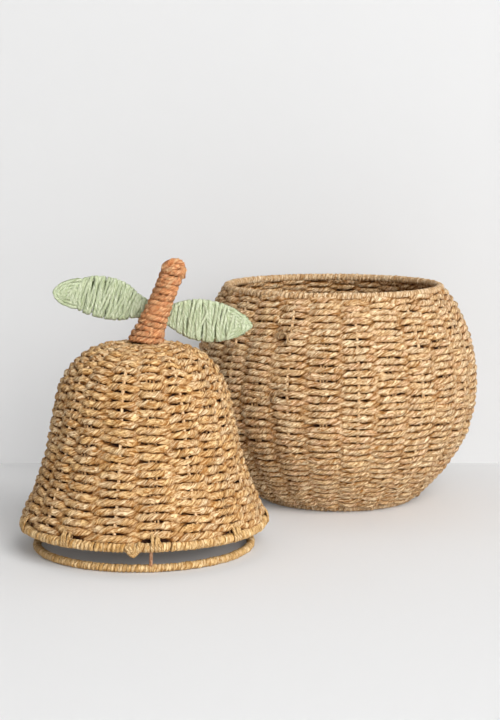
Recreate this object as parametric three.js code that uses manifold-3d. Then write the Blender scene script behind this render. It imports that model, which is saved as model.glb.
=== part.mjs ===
// A pear-shaped basket in two halves, woven from paper rope on upright wires.
// The open basket stands at the origin. Its lid stands beside it on the floor, with a stem and
// two leaves on top. Millimetres, +Z up, the front faces -Y.

import * as THREE from 'three';
import { mergeVertices } from 'three/addons/utils/BufferGeometryUtils.js';
import Module from 'manifold-3d';

const wasm = await Module();
wasm.setup();

// Driving dimensions, shared
const clearance = 0.3;
const wireDiameter = 2.4;
const weaveThickness = 11;
const mouthRadius = 92;

// Driving dimensions of the basket. Wall radii are to the middle of the weave
const footRingRadius = 61;
const footRingThickness = 6.6;
const basketBaseThickness = 6;
const bellyRadius = 117.4;
const bellyHeight = 107;
const lowerBellyPower = 2.4;
const upperBellyPower = 1.7;
const basketRimHeight = 184.5;
const basketRimThickness = 6.6;
const basketStakeCount = 26;
const basketFirstStake = 6.9;

// Driving dimensions of the lid. Heights count from the floor that it stands on
const lidBesideX = -154;
const lidBesideY = -181.4;
const lidBodyRadius = 65.1;
const lidCrownHeight = 155.8;
const lidShoulderStart = 80;
const lidShoulderPower = 2.87;
const lidFlareTop = 115.5;
const lidFlarePower = 1.82;
const lidRimThickness = 7.4;
const locatingRingThickness = 6.4;
const locatingFit = 2.5;
const locatingDrop = 17.6;
const lidStakeCount = 18;
const lidFirstStake = 10;
const lidStakeEndRadius = 15;
const lidPostCount = 3;

// Driving dimensions of the stem
const stemOffset = 3.4;
const stemLean = 21.5;
const stemRise = 52;
const stemBaseRadius = 13.2;
const stemTopRadius = 9.1;
const stemTaperPower = 2.2;
const stemRopeDiameter = 4;
const stemTurns = 11;
const stemCapTurns = 1;
const stemCapRadius = 3;

// Driving dimensions of the leaves. Their height counts from the stem's base, angles from level
const leafHeight = 16;
const leafHalfWidth = 16.3;
const leafRoundness = 0.75;
const leafCordDiameter = 2.8;
const leafTurnPitch = 3.4;
const leafMargin = 0.055;
const leftLeafLength = 82;
const leftLeafRise = 11.5;
const rightLeafLength = 73;
const rightLeafRise = -7.3;

// Facets
const ringSides = 8;
const wallSteps = 8;
const stakeSteps = 5;
const stakeSides = 4;
const facetsPerStake = 2;
const leafWireSides = 6;
const stemRopeSides = 6;
const leafCordSides = 6;
const stemSteps = 12;
const stemCoreSteps = 5;
const leafWireSteps = 9;
const curveSamples = 400;
const seatStep = 0.5;
const mergeDistance = 1e-4;

const wireRadius = wireDiameter / 2;
const radians = THREE.MathUtils.degToRad;

// Materials
const paperRope = () => new THREE.MeshStandardMaterial({ color: 0xcfa873, roughness: 0.9 });
const boundCord = () => new THREE.MeshStandardMaterial({ color: 0xc79b63, roughness: 0.9 });
const wirePaint = () => new THREE.MeshStandardMaterial({ color: 0xb9967a, roughness: 0.5, metalness: 0.2 });
const stemFilling = () => new THREE.MeshStandardMaterial({ color: 0xa8805a, roughness: 0.95 });
const terracottaRope = () => new THREE.MeshStandardMaterial({ color: 0xc47a52, roughness: 0.9 });
const mintCord = () => new THREE.MeshStandardMaterial({ color: 0xc3d8b4, roughness: 0.9 });

// Turns a closed mesh into a solid for cutting and joining
function toSolid(geometry) {
  const bare = geometry.clone();
  bare.deleteAttribute('normal');
  bare.deleteAttribute('uv');
  const merged = mergeVertices(bare, mergeDistance);
  const corners = merged.index.array;
  const kept = [];
  for (let i = 0; i < corners.length; i += 3) {
    const [a, b, c] = [corners[i], corners[i + 1], corners[i + 2]];
    if (a !== b && b !== c && c !== a) kept.push(a, b, c);
  }
  return new wasm.Manifold(new wasm.Mesh({
    numProp: 3,
    vertProperties: new Float32Array(merged.attributes.position.array),
    triVerts: new Uint32Array(kept),
  }));
}

// Turns a solid back into a mesh geometry
function toGeometry(solid) {
  const mesh = solid.getMesh();
  const geometry = new THREE.BufferGeometry();
  geometry.setAttribute('position', new THREE.BufferAttribute(new Float32Array(mesh.vertProperties), 3));
  geometry.setIndex(new THREE.BufferAttribute(new Uint32Array(mesh.triVerts), 1));
  geometry.computeVertexNormals();
  return geometry;
}

// Spins a closed profile of [radius, height] pairs round the Z axis
function spin(profile, segments) {
  const points = profile.map(([radius, height]) => new THREE.Vector2(radius, height));
  return new THREE.LatheGeometry(points, segments).rotateX(Math.PI / 2);
}

// Corner radius of a polygon whose flats lie at the given radius
function cornerRadius(flatRadius, sides) {
  return flatRadius / Math.cos(Math.PI / sides);
}

// A hoop with a flat underside, so that it stands level
function hoop(radius, height, thickness, segments) {
  const corner = cornerRadius(thickness / 2, ringSides);
  const profile = [];
  for (let i = 0; i <= ringSides; i += 1) {
    const angle = (i + 0.5) * 2 * Math.PI / ringSides;
    profile.push([radius + corner * Math.cos(angle), height + corner * Math.sin(angle)]);
  }
  return spin(profile, segments);
}

// Joins rings of points, each with the same count, into one closed body with flat ends
function loft(rings) {
  const count = rings[0].length;
  const positions = rings.flat().flatMap((point) => [point.x, point.y, point.z]);
  const corners = [];
  for (let i = 0; i + 1 < rings.length; i += 1) {
    for (let j = 0; j < count; j += 1) {
      const a = i * count + j;
      const b = i * count + (j + 1) % count;
      corners.push(a, b, b + count, a, b + count, a + count);
    }
  }
  const last = (rings.length - 1) * count;
  for (let j = 1; j + 1 < count; j += 1) {
    corners.push(0, j + 1, j);
    corners.push(last, last + j, last + j + 1);
  }
  const geometry = new THREE.BufferGeometry();
  geometry.setAttribute('position', new THREE.Float32BufferAttribute(positions, 3));
  geometry.setIndex(corners);
  geometry.computeVertexNormals();
  return geometry;
}

// A tube of even thickness along a line of points, whose section doesn't twist. It may be told
// which way the first section faces
function tube(line, radius, sides, firstSide = null) {
  const rings = [];
  let side = firstSide;
  for (let i = 0; i < line.length; i += 1) {
    const back = line[i].clone().sub(line[Math.max(i - 1, 0)]).normalize();
    const ahead = line[Math.min(i + 1, line.length - 1)].clone().sub(line[i]).normalize();
    const along = back.clone().add(ahead).normalize();
    if (side === null) {
      const pole = Math.abs(along.z) < 0.7 ? new THREE.Vector3(0, 0, 1) : new THREE.Vector3(0, 1, 0);
      side = pole.cross(along).normalize();
    }
    side.addScaledVector(along, -side.dot(along)).normalize();
    const other = along.clone().cross(side);
    const ring = [];
    for (let j = 0; j < sides; j += 1) {
      const angle = (j + 0.5) * 2 * Math.PI / sides;
      ring.push(line[i].clone()
        .addScaledVector(side, radius * Math.cos(angle))
        .addScaledVector(other, radius * Math.sin(angle)));
    }
    rings.push(ring);
  }
  return loft(rings);
}

// Length of a line of [radius, height] pairs up to each of its points
function lengthsAlong(line) {
  const lengths = [0];
  for (let i = 1; i < line.length; i += 1) {
    lengths.push(lengths[i - 1] + Math.hypot(line[i][0] - line[i - 1][0], line[i][1] - line[i - 1][1]));
  }
  return lengths;
}

// The point at a given length along such a line
function pointAt(line, lengths, length) {
  const next = Math.max(1, lengths.findIndex((value) => value >= length));
  const share = (length - lengths[next - 1]) / (lengths[next] - lengths[next - 1]);
  return [0, 1].map((k) => line[next - 1][k] + share * (line[next][k] - line[next - 1][k]));
}

// Evenly spaced points of a line between two lengths, moved sideways off it
function stretch(line, from, to, steps, sideways) {
  const lengths = lengthsAlong(line);
  const small = lengths[lengths.length - 1] / curveSamples;
  const points = [];
  for (let i = 0; i <= steps; i += 1) {
    const length = from + (to - from) * i / steps;
    const [radius, height] = pointAt(line, lengths, length);
    const before = pointAt(line, lengths, Math.max(0, length - small));
    const after = pointAt(line, lengths, Math.min(lengths[lengths.length - 1], length + small));
    const run = Math.hypot(after[0] - before[0], after[1] - before[1]);
    points.push([
      Math.max(0, radius + sideways * (after[1] - before[1]) / run),
      height - sideways * (after[0] - before[0]) / run,
    ]);
  }
  return points;
}

// The middle of the basket's wall, from the foot ring up to the rim ring
function basketWallLine() {
  const footHeight = footRingThickness / 2;
  const line = [];
  for (let i = 0; i <= curveSamples; i += 1) {
    const height = footHeight + (basketRimHeight - footHeight) * i / curveSamples;
    const below = (bellyHeight - height) / (bellyHeight - footHeight);
    const above = (height - bellyHeight) / (basketRimHeight - bellyHeight);
    const radius = height < bellyHeight
      ? bellyRadius - (bellyRadius - footRingRadius) * below ** lowerBellyPower
      : bellyRadius - (bellyRadius - mouthRadius) * above ** upperBellyPower;
    line.push([radius, height]);
  }
  return line;
}

// The middle of the lid's wall, from its rim ring up to the crown
function lidWallLine() {
  const rimHeight = locatingRingThickness / 2 + locatingDrop;
  const flare = (height) => (mouthRadius - lidBodyRadius)
    * Math.max(0, (lidFlareTop - height) / (lidFlareTop - rimHeight)) ** lidFlarePower;
  const line = [];
  for (let i = 0; i < curveSamples; i += 1) {
    const height = rimHeight + (lidShoulderStart - rimHeight) * i / curveSamples;
    line.push([lidBodyRadius + flare(height), height]);
  }
  for (let i = 0; i <= curveSamples; i += 1) {
    const turn = Math.PI / 2 * i / curveSamples;
    const share = Math.sin(turn) ** (2 / lidShoulderPower);
    const height = lidShoulderStart + (lidCrownHeight - lidShoulderStart) * share;
    const radius = lidBodyRadius * Math.max(0, Math.cos(turn)) ** (2 / lidShoulderPower);
    line.push([i === curveSamples ? 0 : radius + flare(height), height]);
  }
  return line;
}

// A wall line point turned to a stake's angle, which counts from the front towards +X
function onStake([radius, height], angle) {
  return new THREE.Vector3(radius * Math.sin(angle), -radius * Math.cos(angle), height);
}

// A stake's wire, or the channel that holds it when it is given some room
function stakeSolid(points, angle, room) {
  const corner = cornerRadius(wireRadius + room, stakeSides);
  const aside = new THREE.Vector3(Math.cos(angle), Math.sin(angle), 0);
  return tube(points.map((point) => onStake(point, angle)), corner, stakeSides, aside);
}

function makeMesh(name, geometry, material) {
  const mesh = new THREE.Mesh(geometry, material);
  mesh.name = name;
  return mesh;
}

const numbered = (name, index) => `${name}_${String(index + 1).padStart(2, '0')}`;

// Basket
function makeBasket() {
  const basket = new THREE.Group();
  const segments = basketStakeCount * facetsPerStake;
  const wallLine = basketWallLine();
  const wallLength = lengthsAlong(wallLine).pop();
  const footReach = cornerRadius(footRingThickness / 2, ringSides) + clearance;
  const rimReach = cornerRadius(basketRimThickness / 2, ringSides) + clearance;
  const stakeEnd = wallLength - rimReach;
  const stakePoints = stretch(wallLine, footReach, stakeEnd, stakeSteps, 0);
  const channelPoints = [wallLine[0], ...stakePoints, wallLine[curveSamples]];

  // Base disc, whose flat underside is level with the foot ring's
  const baseRadius = footRingRadius - footReach;
  const base = new THREE.CylinderGeometry(baseRadius, baseRadius, basketBaseThickness, segments)
    .rotateX(Math.PI / 2)
    .translate(0, 0, basketBaseThickness / 2);
  basket.add(makeMesh('basket_base_weave', base, paperRope()));

  // Rings
  const foot = hoop(footRingRadius, footRingThickness / 2, footRingThickness, segments);
  const rim = hoop(mouthRadius, basketRimHeight, basketRimThickness, segments);
  basket.add(makeMesh('basket_foot_ring', foot, boundCord()));
  basket.add(makeMesh('basket_rim_ring', rim, boundCord()));

  // Wall, with a channel for each stake
  const outside = stretch(wallLine, footReach, stakeEnd, wallSteps, weaveThickness / 2);
  const inside = stretch(wallLine, footReach, stakeEnd, wallSteps, -weaveThickness / 2);
  let wall = toSolid(spin([...outside, ...inside.reverse(), outside[0]], segments));
  for (let i = 0; i < basketStakeCount; i += 1) {
    const angle = radians(basketFirstStake) + 2 * Math.PI * i / basketStakeCount;
    wall = wall.subtract(toSolid(stakeSolid(channelPoints, angle, clearance)));
    const stake = stakeSolid(stakePoints, angle, 0);
    basket.add(makeMesh(numbered('basket_stake', i), stake, wirePaint()));
  }
  basket.add(makeMesh('basket_wall_weave', toGeometry(wall), paperRope()));
  return basket;
}

// Lid
function makeLidShell() {
  const shell = new THREE.Group();
  const segments = lidStakeCount * facetsPerStake;
  const wallLine = lidWallLine();
  const lengths = lengthsAlong(wallLine);
  const wallLength = lengths[lengths.length - 1];
  const rimHeight = wallLine[0][1];
  const rimReach = cornerRadius(lidRimThickness / 2, ringSides) + clearance;
  const basketRimInside = mouthRadius - cornerRadius(basketRimThickness / 2, ringSides);
  const locatingCorner = cornerRadius(locatingRingThickness / 2, ringSides);
  const locatingRadius = basketRimInside - locatingFit - locatingCorner;
  const locatingHeight = rimHeight - locatingDrop;
  const lastStakePoint = wallLine.findIndex(([radius, height]) =>
    height > lidShoulderStart && radius < lidStakeEndRadius);
  const stakeEnd = lengths[lastStakePoint];
  const stakePoints = stretch(wallLine, rimReach, stakeEnd, stakeSteps, 0);
  const channelEnd = pointAt(wallLine, lengths, stakeEnd + wireRadius);
  const channelPoints = [wallLine[0], ...stakePoints, channelEnd];

  // Wall, closed over the crown, with a blind channel for each stake
  const outside = stretch(wallLine, rimReach, wallLength, wallSteps, weaveThickness / 2);
  const inside = stretch(wallLine, rimReach, wallLength, wallSteps, -weaveThickness / 2);
  outside[wallSteps][0] = 0;
  inside[wallSteps][0] = 0;
  let wall = toSolid(spin([...inside.reverse(), ...outside], segments));
  for (let i = 0; i < lidStakeCount; i += 1) {
    const angle = radians(lidFirstStake) + 2 * Math.PI * i / lidStakeCount;
    wall = wall.subtract(toSolid(stakeSolid(channelPoints, angle, clearance)));
    shell.add(makeMesh(numbered('lid_stake', i), stakeSolid(stakePoints, angle, 0), wirePaint()));
  }
  shell.add(makeMesh('lid_wall_weave', toGeometry(wall), paperRope()));

  // Rings
  const rim = hoop(mouthRadius, rimHeight, lidRimThickness, segments);
  const locating = hoop(locatingRadius, locatingHeight, locatingRingThickness, segments);
  shell.add(makeMesh('lid_rim_ring', rim, boundCord()));
  shell.add(makeMesh('lid_locating_ring', locating, boundCord()));
  console.log(`locating ring to basket rim, all round: ${locatingFit} mm`);

  // Posts between the two rings
  const rimCentre = new THREE.Vector2(mouthRadius, rimHeight);
  const locatingCentre = new THREE.Vector2(locatingRadius, locatingHeight);
  const down = locatingCentre.clone().sub(rimCentre).normalize();
  const postHead = rimCentre.clone().addScaledVector(down, rimReach);
  const postFoot = locatingCentre.clone().addScaledVector(down, -locatingCorner - clearance);
  for (let i = 0; i < lidPostCount; i += 1) {
    const angle = radians(lidFirstStake) + 2 * Math.PI * i / lidPostCount;
    const post = stakeSolid([postFoot.toArray(), postHead.toArray()], angle, 0);
    shell.add(makeMesh(numbered('lid_post', i), post, wirePaint()));
  }
  return shell;
}

// Height of the crown's top face
const crownTop = lidCrownHeight + weaveThickness / 2;

// The stem's outer radius at a share of its rise
function stemRadius(share) {
  return stemTopRadius + (stemBaseRadius - stemTopRadius) * (1 - share) ** stemTaperPower;
}

// A point of the stem. Its cross-sections are level at the base and square to its axis above
function stemPoint(share, radius, angle) {
  const tilt = radians(stemLean) * share;
  const baseHeight = crownTop + clearance + stemRopeDiameter / 2;
  return new THREE.Vector3(
    stemOffset + stemRise * Math.tan(radians(stemLean)) * share + radius * Math.cos(angle) * Math.cos(tilt),
    radius * Math.sin(angle),
    baseHeight + stemRise * share - radius * Math.cos(angle) * Math.sin(tilt),
  );
}

// The least gap between turns of one winding, on its line's points, more than half a turn apart
function leastGap(line, pointsPerTurn, diameter) {
  let least = Infinity;
  for (let i = 0; i < line.length; i += 1) {
    for (let j = i + Math.ceil(pointsPerTurn / 2); j < line.length; j += 1) {
      least = Math.min(least, line[i].distanceTo(line[j]) - diameter);
    }
  }
  return least;
}

// The line of the stem's rope, whose last turn is drawn in over the core's top
function stemRopeLine() {
  const axisPitch = stemRise / stemTurns / Math.cos(radians(stemLean));
  const line = [];
  for (let i = 0; i <= (stemTurns + stemCapTurns) * stemSteps; i += 1) {
    const turn = i / stemSteps;
    const capShare = Math.max(0, turn - stemTurns) / stemCapTurns;
    const share = Math.min(turn / stemTurns, 1);
    const wide = stemRadius(share) - stemRopeDiameter / 2;
    const point = stemPoint(share, wide + (stemCapRadius - wide) * capShare, 2 * Math.PI * turn);
    const climb = axisPitch * Math.sin(capShare * Math.PI / 2);
    point.x += climb * Math.sin(radians(stemLean));
    point.z += climb * Math.cos(radians(stemLean));
    line.push(point);
  }
  return line;
}

// Stem: rope wound round a core
function makeStem() {
  const stem = new THREE.Group();
  const ropeRadius = stemRopeDiameter / 2;
  const line = stemRopeLine();
  stem.add(makeMesh('stem_winding', tube(line, ropeRadius, stemRopeSides), terracottaRope()));
  console.log(`stem winding, least gap: ${leastGap(line, stemSteps, stemRopeDiameter).toFixed(2)} mm`);

  const rings = [];
  const chord = Math.cos(Math.PI / stemSteps);
  for (let i = 0; i <= stemCoreSteps; i += 1) {
    const share = i / stemCoreSteps;
    const radius = (stemRadius(share) - ropeRadius) * chord - ropeRadius - clearance;
    const ring = [];
    for (let j = 0; j < stemSteps; j += 1) {
      ring.push(stemPoint(share, radius, 2 * Math.PI * j / stemSteps));
    }
    rings.push(ring);
  }
  rings[0].forEach((point) => { point.z = crownTop + clearance; });
  stem.add(makeMesh('stem_core', loft(rings), stemFilling()));
  return stem;
}

// The same line with points close together
function fillIn(line) {
  const points = [];
  for (let i = 1; i < line.length; i += 1) {
    const count = Math.ceil(line[i].distanceTo(line[i - 1]) / seatStep);
    for (let j = 0; j < count; j += 1) points.push(line[i - 1].clone().lerp(line[i], j / count));
  }
  return points;
}

// How far back a line must move to lie just clear of a line in front of it
function seatBehind(front, line, reach) {
  let back = -Infinity;
  for (const p of fillIn(front)) {
    for (const q of fillIn(line)) {
      const aside = Math.hypot(p.x - q.x, p.z - q.z);
      if (aside < reach) back = Math.max(back, p.y - q.y + Math.sqrt(reach ** 2 - aside ** 2));
    }
  }
  return back;
}

// Half the width of a leaf's wire outline at a share of its length
function leafWireHalfWidth(share) {
  const widest = leafHalfWidth - leafCordDiameter - clearance - wireRadius;
  return widest * Math.sin(Math.PI * THREE.MathUtils.clamp(share, 0, 1)) ** leafRoundness;
}

// A function that places a point on a leaf: a share of its length, a distance across, a depth
function leafPlacer(root, length, rise, way) {
  const along = new THREE.Vector3(way * Math.cos(radians(rise)), 0, Math.sin(radians(rise)));
  const across = new THREE.Vector3(0, way, 0).cross(along);
  return (share, offset, depth) => root.clone()
    .addScaledVector(along, share * length)
    .addScaledVector(across, offset)
    .add(new THREE.Vector3(0, depth, 0));
}

// The line of a leaf's cord. Each turn crosses the front, goes round one edge of the wire, crosses
// the back and comes round the other edge
function leafCordLine(place, length, cornerPlaces) {
  const turns = Math.floor(length * (1 - 2 * leafMargin) / leafTurnPitch);
  const reach = (leafCordDiameter / 2 + clearance) / length;
  const line = [];
  for (let i = 0; i < turns * cornerPlaces.length; i += 1) {
    const share = leafMargin + (1 - 2 * leafMargin) * i / (turns * cornerPlaces.length);
    const [out, depth] = cornerPlaces[i % cornerPlaces.length];
    const half = Math.max(leafWireHalfWidth(share - reach), leafWireHalfWidth(share + reach));
    line.push(place(share, out + Math.sign(out) * half, depth));
  }
  return line;
}

// Leaves: cord wound crosswise over a wire outline, seated against the back of the stem
function makeLeaves() {
  const leaves = new THREE.Group();
  const cordRadius = leafCordDiameter / 2;
  const layer = wireRadius + clearance + cordRadius;
  const low = layer * Math.tan(Math.PI / 8);
  const quarter = [[low, -layer], [layer, -low], [layer, low], [low, layer]];
  const cornerPlaces = [...quarter, ...quarter.map(([out, depth]) => [-out, -depth])];
  const root = stemPoint(leafHeight / stemRise, 0, 0);
  const sides = [
    { name: 'leaf_left', length: leftLeafLength, rise: leftLeafRise, way: -1 },
    { name: 'leaf_right', length: rightLeafLength, rise: rightLeafRise, way: 1 },
  ];
  const reach = stemRopeDiameter / 2 + cordRadius + clearance;
  const ropeLine = stemRopeLine();
  root.y = Math.max(...sides.map(({ length, rise, way }) => {
    const place = leafPlacer(root, length, rise, way);
    return root.y + seatBehind(ropeLine, leafCordLine(place, length, cornerPlaces), reach);
  }));

  let wire = null;
  for (const { name, length, rise, way } of sides) {
    const place = leafPlacer(root, length, rise, way);

    // Each edge of the outline is one run of wire, joined at the tip and at the root
    for (const edge of [-1, 1]) {
      const run = [];
      for (let i = 0; i <= leafWireSteps; i += 1) {
        const share = (1 - Math.cos(Math.PI * i / leafWireSteps)) / 2;
        run.push(place(share, edge * leafWireHalfWidth(share), 0));
      }
      const solid = toSolid(tube(run, cornerRadius(wireRadius, leafWireSides), leafWireSides));
      wire = wire === null ? solid : wire.add(solid);
    }

    const line = leafCordLine(place, length, cornerPlaces);
    leaves.add(makeMesh(`${name}_winding`, tube(line, cordRadius, leafCordSides), mintCord()));
    const gap = leastGap(line, cornerPlaces.length, leafCordDiameter);
    console.log(`${name} winding, least gap: ${gap.toFixed(2)} mm`);
  }
  leaves.add(makeMesh('leaf_wire', toGeometry(wire), wirePaint()));
  return leaves;
}

const lid = new THREE.Group();
lid.add(makeLidShell(), makeStem(), makeLeaves());
lid.position.set(lidBesideX, lidBesideY, 0);

const group = new THREE.Group();
group.add(makeBasket(), lid);

export default group;
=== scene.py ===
import math

import bpy
import numpy as np
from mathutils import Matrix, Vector


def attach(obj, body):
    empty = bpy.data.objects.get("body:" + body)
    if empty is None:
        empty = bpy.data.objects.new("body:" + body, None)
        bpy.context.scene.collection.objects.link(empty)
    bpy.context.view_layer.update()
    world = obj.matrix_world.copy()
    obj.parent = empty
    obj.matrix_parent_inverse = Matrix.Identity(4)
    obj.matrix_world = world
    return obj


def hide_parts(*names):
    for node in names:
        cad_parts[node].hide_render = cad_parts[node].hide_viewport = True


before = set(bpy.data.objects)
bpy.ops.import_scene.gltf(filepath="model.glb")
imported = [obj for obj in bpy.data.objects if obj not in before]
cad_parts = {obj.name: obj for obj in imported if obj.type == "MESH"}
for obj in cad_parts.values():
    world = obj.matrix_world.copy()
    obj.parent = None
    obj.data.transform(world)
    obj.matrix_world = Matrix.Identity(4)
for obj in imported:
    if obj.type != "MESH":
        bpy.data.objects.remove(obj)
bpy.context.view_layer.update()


# Camera: stands in front, a little above, with a long lens, as in the photograph. The object's
# front faces -Y.
CAMERA_PLACE = (-0.0721, -1.4859, 0.3232)
CAMERA_PITCH = 7.78
camera_data = bpy.data.cameras.new("camera")
camera_data.lens = 86.16
camera_data.sensor_width = 36
camera = bpy.data.objects.new("camera", camera_data)
bpy.context.scene.collection.objects.link(camera)
camera.location = CAMERA_PLACE
camera.rotation_euler = (math.radians(90 - CAMERA_PITCH), 0, 0)
bpy.context.scene.camera = camera


# Basket wall: one row of twisted paper rope after another, woven in front of one upright wire and
# behind the next. Neighbouring rows pass the wires on opposite sides, so they lock into a brick
# pattern. The rope is only held by this weave, from the foot ring up to the rim ring.
MM = 0.001
BELLY_RADIUS = 117.8
BELLY_HEIGHT = 105.0
LOWER_BELLY_POWER = 2.3
UPPER_BELLY_POWER = 1.85
FOOT_RADIUS = 64.5
FOOT_HEIGHT = 3.3
MOUTH_RADIUS = 92.0
BASKET_RIM_HEIGHT = 184.5
BASKET_STAKES = 26
BASKET_FIRST_STAKE = math.radians(5.6)
BASKET_CENTRE = (0, 0, 0)
BODY_SHIFT = 2.6
FOOT_SHIFT = 2.0
BASKET_FIRST_ROW = 7.4
BASKET_LAST_ROW = 200.2
ROW_PITCH = 2.93
ROPE_RADIUS = 2.8
ROPE_FOLDS = 3
ROPE_LAY = 27.0
ROPE_STEP = 1.3
ROPE_SIDES = 14
WEAVE_DEPTH = 2.45
ROWS_PER_BAND = 11


def line_lengths(line):
    return np.concatenate([[0], np.cumsum(np.hypot(*np.diff(line, axis=0).T))])


def run_lengths(points):
    """How far along a line each of its points lies."""
    return np.concatenate([[0], np.cumsum(np.linalg.norm(np.diff(points, axis=0), axis=1))])


def facing_out(angle):
    """Level directions away from an upright axis, at angles counted from the front."""
    return np.stack([np.sin(angle), -np.cos(angle), np.zeros_like(angle)], 1)


def basket_wall_line():
    """Radius and height of the middle of the basket's wall, from the foot ring up."""
    height = np.linspace(FOOT_HEIGHT, BASKET_RIM_HEIGHT, 800)
    below = np.clip((BELLY_HEIGHT - height) / (BELLY_HEIGHT - FOOT_HEIGHT), 0, 1)
    above = np.clip((height - BELLY_HEIGHT) / (BASKET_RIM_HEIGHT - BELLY_HEIGHT), 0, 1)
    radius = BELLY_RADIUS - (BELLY_RADIUS - FOOT_RADIUS) * below ** LOWER_BELLY_POWER
    radius -= (BELLY_RADIUS - MOUTH_RADIUS) * above ** UPPER_BELLY_POWER
    return np.stack([radius, height], 1)


def placed(points, centre):
    """Points moved to the centre of their wall. The basket's body stands a little to the right of
    its rim, as hand work does."""
    points = points + np.array(centre)
    if centre == BASKET_CENTRE:
        share = np.clip((BASKET_RIM_HEIGHT - points[:, 2]) / 40, 0, 1)
        foot = np.exp(-((points[:, 2] - 3) / 7) ** 2)
        points[:, 0] += BODY_SHIFT * share * (2 - share) + FOOT_SHIFT * foot
    return points


def wander(rng, angle, size, waves=(2, 3, 5, 8, 13, 21)):
    """A smooth closed curve of chance ups and downs round a row."""
    total = np.zeros_like(angle)
    for wave in waves:
        total += rng.normal() * np.cos(wave * angle + rng.uniform(0, 2 * np.pi))
    return total * size / math.sqrt(len(waves) / 2)


def crumple(rng, count, sides, size):
    """Small dents of pressed paper, longer than they are wide. They run on over the join of a
    closed row."""
    dents = rng.normal(size=(count, sides))
    dents += np.roll(dents, 1, 0) + 0.6 * np.roll(dents, 2, 0)
    return 1 + size * dents / math.sqrt(2.4)


def rope_section(rng, turn, radius, folds, depth):
    """Corner places of a rope's section: a strip of paper twisted up, whose edge makes sharp folds
    that follow the twist, come and go, and overlap each other like shingles. Gives the folds too,
    from 0 in their depth to 1 on their backs."""
    count, sides = radius.shape
    corner = 2 * np.pi * np.arange(sides) / sides
    place = np.arange(count) * 2 * np.pi / count
    shape = np.ones((count, sides))
    starts = np.linspace(0, 1, folds, endpoint=False) + rng.uniform(-0.06, 0.06, folds)
    for start in starts:
        behind = (corner / (2 * np.pi) - start) % 1
        slope = 1 - np.minimum(behind * folds, 1)
        strength = np.clip(0.62 + wander(rng, place, 0.45, (7, 13, 23, 37)), 0.08, 1.25)
        dip = np.where(behind < 1.01 / sides, 1.0, 0.35 * slope)
        shape -= depth * strength[:, None] * dip[None, :]
    reach = radius * shape
    facing = turn[:, None] + corner[None, :]
    open_share = np.clip((shape - (1 - 1.1 * depth)) / (0.8 * depth), 0, 1)
    return reach * np.cos(facing), reach * np.sin(facing), open_share


def sweep(points, outward, out, across, run, closed, open_share=1.0):
    """Corners, faces and UVs of a rope whose section has the places out and across at each point,
    and how open to the light each corner is, which the material turns into painted shade."""
    count, sides = out.shape
    if closed:
        along = np.roll(points, -1, 0) - np.roll(points, 1, 0)
    else:
        along = np.gradient(points, axis=0)
    along /= np.linalg.norm(along, axis=1)[:, None]
    outward = outward - (outward * along).sum(1)[:, None] * along
    outward /= np.linalg.norm(outward, axis=1)[:, None]
    sideways = np.cross(outward, along)
    corners = (points[:, None] + out[:, :, None] * outward[:, None]
               + across[:, :, None] * sideways[:, None])
    rings = count if closed else count - 1
    i, j = np.meshgrid(np.arange(rings), np.arange(sides), indexing="ij")
    i, j = i.ravel(), j.ravel()
    i_next, j_next = (i + 1) % count, (j + 1) % sides
    faces = np.stack([i * sides + j, i * sides + j_next,
                      i_next * sides + j_next, i_next * sides + j], 1)
    u_end = np.append(run[1:], run[-1] + run[1] - run[0])
    uv = np.stack([
        np.stack([run[i], j / sides], 1), np.stack([run[i], (j + 1) / sides], 1),
        np.stack([u_end[i], (j + 1) / sides], 1), np.stack([u_end[i], j / sides], 1),
    ], 1)
    ends = [] if closed else [np.arange(sides)[::-1], (count - 1) * sides + np.arange(sides)]
    shares = np.broadcast_to(open_share, out.shape).ravel()
    return corners.reshape(-1, 3), faces, uv.reshape(-1, 2), ends, shares


def mesh_piece(name, parts, material):
    """One object from several swept ropes. Lengths go in as millimetres and come out as metres."""
    corners, loops, sizes, uvs, shares, start = [], [], [], [], [], 0
    for part_corners, part_faces, part_uv, ends, part_shares in parts:
        corners.append(part_corners)
        shares.append(part_shares)
        loops.append(part_faces.ravel() + start)
        sizes.append(np.full(len(part_faces), 4))
        uvs.append(part_uv)
        for end in ends:
            loops.append(end + start)
            sizes.append([len(end)])
            uvs.append(np.tile(part_uv[0], (len(end), 1)))
        start += len(part_corners)
    corners, loops, sizes, uvs, shares = (
        np.concatenate(part) for part in (corners, loops, sizes, uvs, shares))
    mesh = bpy.data.meshes.new(name)
    mesh.vertices.add(len(corners))
    mesh.vertices.foreach_set("co", (corners * MM).astype(np.float32).ravel())
    mesh.loops.add(len(loops))
    mesh.loops.foreach_set("vertex_index", loops.astype(np.int32))
    mesh.polygons.add(len(sizes))
    starts = np.concatenate([[0], np.cumsum(sizes)[:-1]])
    mesh.polygons.foreach_set("loop_start", starts.astype(np.int32))
    layer = mesh.uv_layers.new(name="rope")
    layer.data.foreach_set("uv", uvs.astype(np.float32).ravel())
    # The openness attribute carries the painted shade of each corner.
    openness = mesh.attributes.new(name="openness", type="FLOAT", domain="POINT")
    openness.data.foreach_set("value", shares.astype(np.float32))
    mesh.update()
    mesh.validate()
    mesh.shade_smooth()
    mesh.materials.append(material)
    piece = bpy.data.objects.new(name, mesh)
    bpy.context.scene.collection.objects.link(piece)
    return piece


def row_wave(angle, place):
    """How far the hand-laid rows of one neighbourhood rise and sink together."""
    return 0.55 * (np.sin(5 * angle + place / 23) + np.sin(3 * angle - place / 31 + 1)
                   + 0.7 * np.sin(11 * angle + place / 17 + 2))


def stake_angles(first_stake, stakes, seed, shifts):
    """Where the uprights stand: evenly round, each a little off, as hand work is."""
    angles = first_stake + 2 * np.pi * np.arange(stakes) / stakes
    angles += np.random.default_rng(seed).uniform(-0.012, 0.012, stakes)
    for stake, shift in shifts.items():
        angles[stake] += math.radians(shift)
    return angles


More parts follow.
